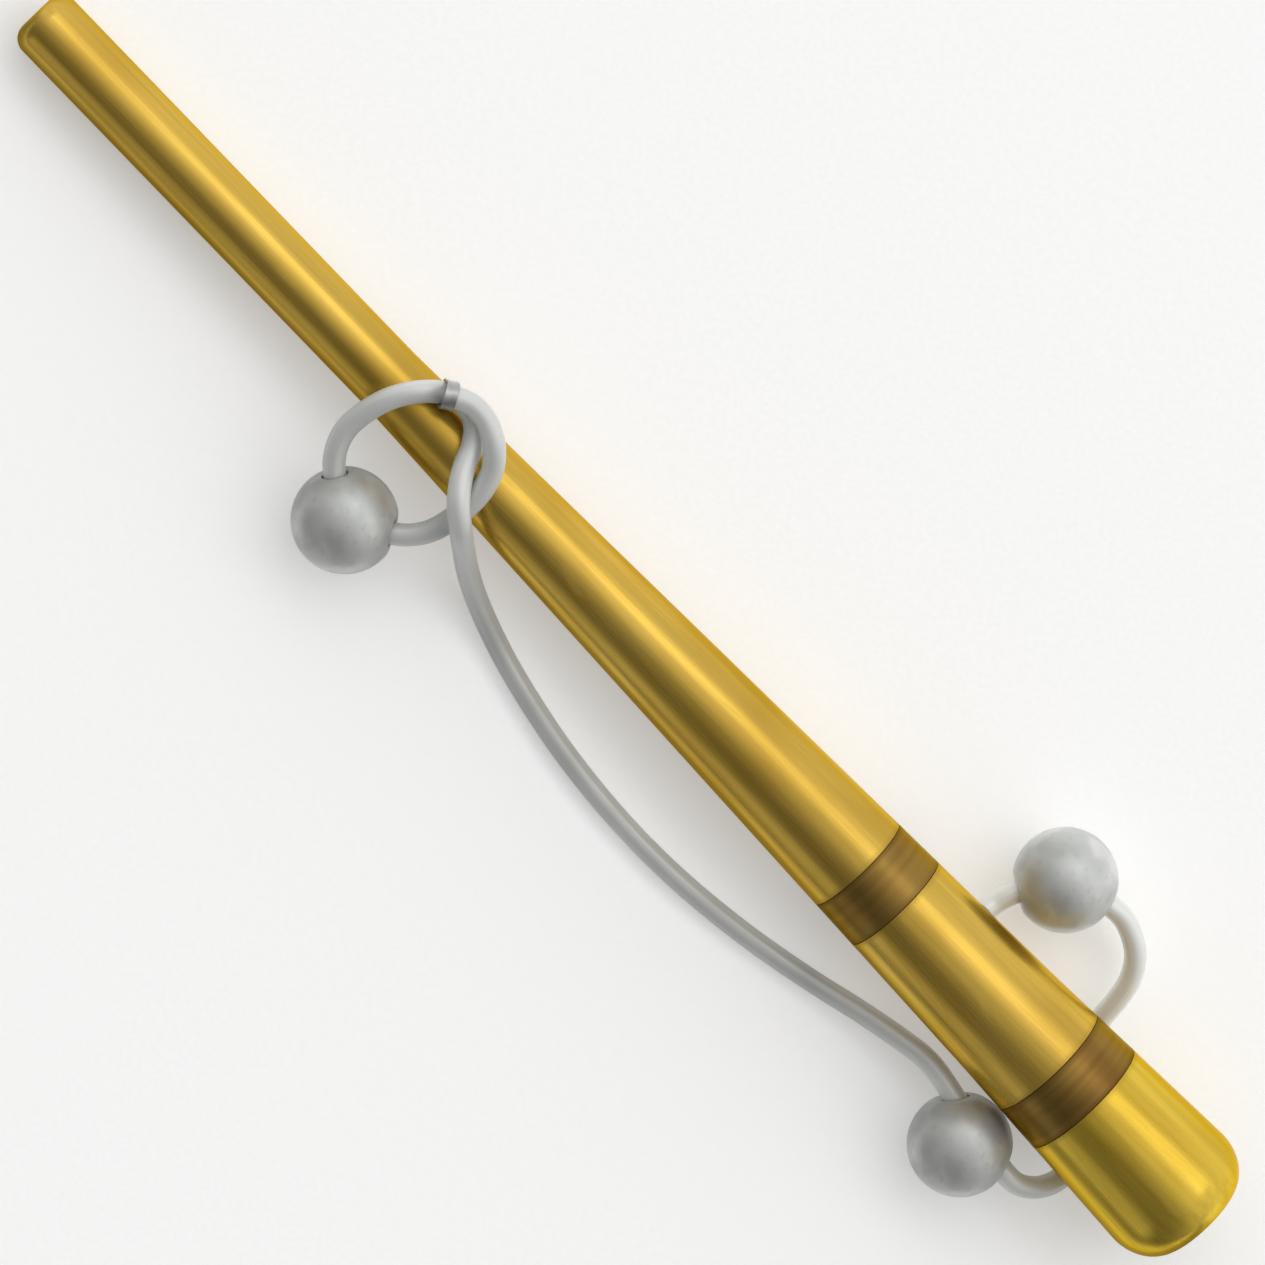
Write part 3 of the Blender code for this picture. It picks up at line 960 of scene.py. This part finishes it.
def satin_cord(name):
    """A smooth silvery cord: lengthwise satin streaks, slow changes of tone and tiny nicks."""
    finish = Finish(name, 0.25, 0.5)
    place = finish.place("straight")
    slow = finish.noise(place, (60.0, 60.0, 38.0), 2.0)
    streaks = finish.noise(place, (1500.0, 1500.0, 55.0), 3.0, 0.6)
    grain = finish.noise(place, (5200.0, 5200.0, 2600.0), 2.0)
    colour = finish.ramp(
        slow, (0.32, (0.52, 0.53, 0.51)), (0.52, (0.60, 0.61, 0.59)), (0.70, (0.68, 0.685, 0.665))
    )
    colour = finish.mix(finish.spread(streaks, 0.35, 0.7, 0.22, 0.0), colour, (0.42, 0.425, 0.41))
    gone = finish.along(place)
    # Painted light: the base colour is raised on the loop near the free end, and raised strongly
    # past the slack run, where the cord looks more brightly lit.
    painted_light_lift = finish.maths(
        "MULTIPLY",
        finish.spread(gone, PAINTED_LIGHT_LOOP_TO - 0.04, PAINTED_LIGHT_LOOP_TO, 1.14, 1.0),
        finish.spread(gone, PAINTED_LIGHT_RUN_FROM, PAINTED_LIGHT_RUN_FROM + 0.05, 1.0, 1.36),
    )
    lighter = finish.node("ShaderNodeVectorMath", operation="SCALE")
    finish.link(colour, lighter.inputs[0])
    finish.link(painted_light_lift, lighter.inputs["Scale"])
    finish.link(lighter.outputs["Vector"], finish.shader.inputs["Base Color"])
    value = finish.spread(streaks, 0.3, 0.7, 0.47, 0.38)
    finish.link(value, finish.shader.inputs["Roughness"])
    fine = finish.bump(grain, 0.000010, 0.5)
    finish.link(finish.bump(streaks, 0.00003, 0.5, fine), finish.shader.inputs["Normal"])
    finish.shader.inputs["Sheen Weight"].default_value = 0.15
    finish.shader.inputs["Sheen Roughness"].default_value = 0.4
    return finish


satin_cord("cord_satin").give(cord)

core_steel = polished_metal(
    "core_steel",
    ((0.36, 0.36, 0.37), (0.45, 0.45, 0.46), (0.53, 0.53, 0.54)),
    0.38,
    [0.0],
    own=None,
    edge=(1.0, 1.0, 1.0),
)
core_steel.give(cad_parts["core_rod"])


# ---------------------------------------------------------------- what each piece is

for piece, body, node, slot in (
    (cord, "wand", "cord", "silver_cord"),
    (shaft, "wand", "shaft", "gold"),
    (upper_band, "wand", "upper_band", "bronze"),
    (grip, "wand", "grip", "gold"),
    (lower_band, "wand", "lower_band", "bronze"),
    (pommel, "wand", "pommel", "bright_gold"),
    (bush, "wand", "cord_bush", "bronze"),
    (crimp, "wand", "loop_crimp", "silver"),
    (ring_ball, "ring_ball", "ring_ball", "silver"),
    (side_ball, "side_ball", "side_ball", "silver"),
    (lower_ball, "lower_ball", "lower_ball", "silver"),
):
    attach(piece, body)
    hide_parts(node)


# ---------------------------------------------------------------- floor and light


# Grey levels across the wand, as (position, level), from its -Y side to its +Y side.  The card's
# run over CARD_REACH each way from the wand, the studio's over all directions.
BRIGHTEST = 1.2
CARD_REACH = 0.2
CARD_LEVELS = (
    (0.0, 0.22),
    (0.225, 0.32),
    (0.3125, 0.82),
    (0.3875, 0.88),
    (0.415, 0.46),
    (0.48, 0.32),
    (0.5, 0.62),
    (0.52, 1.05),
    (0.65, 1.12),
    (1.0, 1.02),
)
STUDIO_LEVELS = (
    (0.0, 0.62),
    (0.02, 0.60),
    (0.09, 0.20),
    (0.22, 0.20),
    (0.36, 0.36),
    (0.50, 0.66),
    (0.64, 1.00),
    (0.78, 1.15),
    (0.92, 1.02),
    (1.0, 1.05),
)


def disc(name):
    """A wide flat disc round the origin."""
    mesh = bpy.data.meshes.new(name)
    shape = bmesh.new()
    bmesh.ops.create_circle(shape, cap_ends=True, radius=FLOOR_RADIUS, segments=96)
    shape.to_mesh(mesh)
    shape.free()
    return new_object(name, mesh)


def make_floor():
    """A white paper table top, which polished surfaces don't see."""
    floor = disc("floor")
    paper = Finish("floor_paper", 0.0, 0.1)
    fibres = paper.noise(paper.place(), (900.0, 900.0, 900.0), 2.0)
    tone = paper.ramp(fibres, (0.3, (0.86, 0.86, 0.855)), (0.7, (0.90, 0.90, 0.895)))
    paper.link(tone, paper.shader.inputs["Base Color"])
    paper.shader.inputs["Roughness"].default_value = 0.85
    paper.shader.inputs["Emission Color"].default_value = (1.0, 1.0, 1.0, 1.0)
    paper.shader.inputs["Emission Strength"].default_value = 0.26
    paper.give(floor)
    floor.visible_glossy = False


def grey_across(tree, coordinates, reach, stops):
    """Grey levels over the Y coordinate from -reach to reach, as shares of the brightest."""
    place = tree.nodes.new("ShaderNodeTexCoord")
    parts = tree.nodes.new("ShaderNodeSeparateXYZ")
    tree.links.new(place.outputs[coordinates], parts.inputs["Vector"])
    across = tree.nodes.new("ShaderNodeMapRange")
    across.inputs["From Min"].default_value = -reach
    across.inputs["From Max"].default_value = reach
    tree.links.new(parts.outputs["Y"], across.inputs["Value"])
    ramp = tree.nodes.new("ShaderNodeValToRGB")
    elements = ramp.color_ramp.elements
    while len(elements) < len(stops):
        elements.new(0.5)
    for element, (at, level) in zip(elements, stops):
        element.position = at
        grey = level / BRIGHTEST
        element.color = (grey, grey, grey, 1.0)
    tree.links.new(across.outputs["Result"], ramp.inputs["Fac"])
    return ramp.outputs["Color"]


def make_reflection_card():
    """What polished surfaces see where the floor is: pale, with a dark strip on the near side."""
    card = disc("reflection_card")
    card.location.z = -CARD_DROP
    material = bpy.data.materials.new("reflection_card")
    material.use_nodes = True
    tree = material.node_tree
    tree.nodes.clear()
    levels = grey_across(tree, "Object", CARD_REACH, CARD_LEVELS)
    glow = tree.nodes.new("ShaderNodeEmission")
    glow.inputs["Strength"].default_value = BRIGHTEST
    tree.links.new(levels, glow.inputs["Color"])
    out = tree.nodes.new("ShaderNodeOutputMaterial")
    tree.links.new(glow.outputs["Emission"], out.inputs["Surface"])
    card.data.materials.append(material)
    card.visible_camera = False
    card.visible_diffuse = False
    card.visible_shadow = False
    card.visible_transmission = False


def make_world():
    """A soft studio: bright on the wand's far side, dim on its near side, with a pale horizon.
    The camera itself sees a plain pale backdrop."""
    world = bpy.data.worlds.new("studio")
    bpy.context.scene.world = world
    world.use_nodes = True
    tree = world.node_tree
    tree.nodes.clear()
    studio = tree.nodes.new("ShaderNodeBackground")
    studio.inputs["Strength"].default_value = BRIGHTEST
    levels = grey_across(tree, "Generated", 1.0, STUDIO_LEVELS)
    tree.links.new(levels, studio.inputs["Color"])
    backdrop = tree.nodes.new("ShaderNodeBackground")
    backdrop.inputs["Color"].default_value = (0.92, 0.92, 0.92, 1.0)
    path = tree.nodes.new("ShaderNodeLightPath")
    choose = tree.nodes.new("ShaderNodeMixShader")
    out = tree.nodes.new("ShaderNodeOutputWorld")
    tree.links.new(path.outputs["Is Camera Ray"], choose.inputs["Fac"])
    tree.links.new(studio.outputs["Background"], choose.inputs[1])
    tree.links.new(backdrop.outputs["Background"], choose.inputs[2])
    tree.links.new(choose.outputs["Shader"], out.inputs["Surface"])


def softbox(name, place, width, length, level):
    """A rectangular light facing the wand's middle, as bright as a surface of that level."""
    data = bpy.data.lights.new(name, "AREA")
    data.shape = "RECTANGLE"
    data.size = length
    data.size_y = width
    data.energy = level * math.pi * width * length
    light = new_object(name, data)
    back = Vector(place).normalized()
    right = Vector((1.0, 0.0, 0.0))
    up = back.cross(right).normalized()
    right = up.cross(back)
    light.matrix_world = Matrix.Translation(place) @ Matrix((right, up, back)).transposed().to_4x4()


make_floor()
make_reflection_card()
make_world()
softbox("key", (0.0, 0.66, 0.92), 0.42, 1.7, 0.78)

settings = bpy.context.scene.view_settings
settings.view_transform = "Standard"
settings.look = "None"
settings.exposure = 0.0
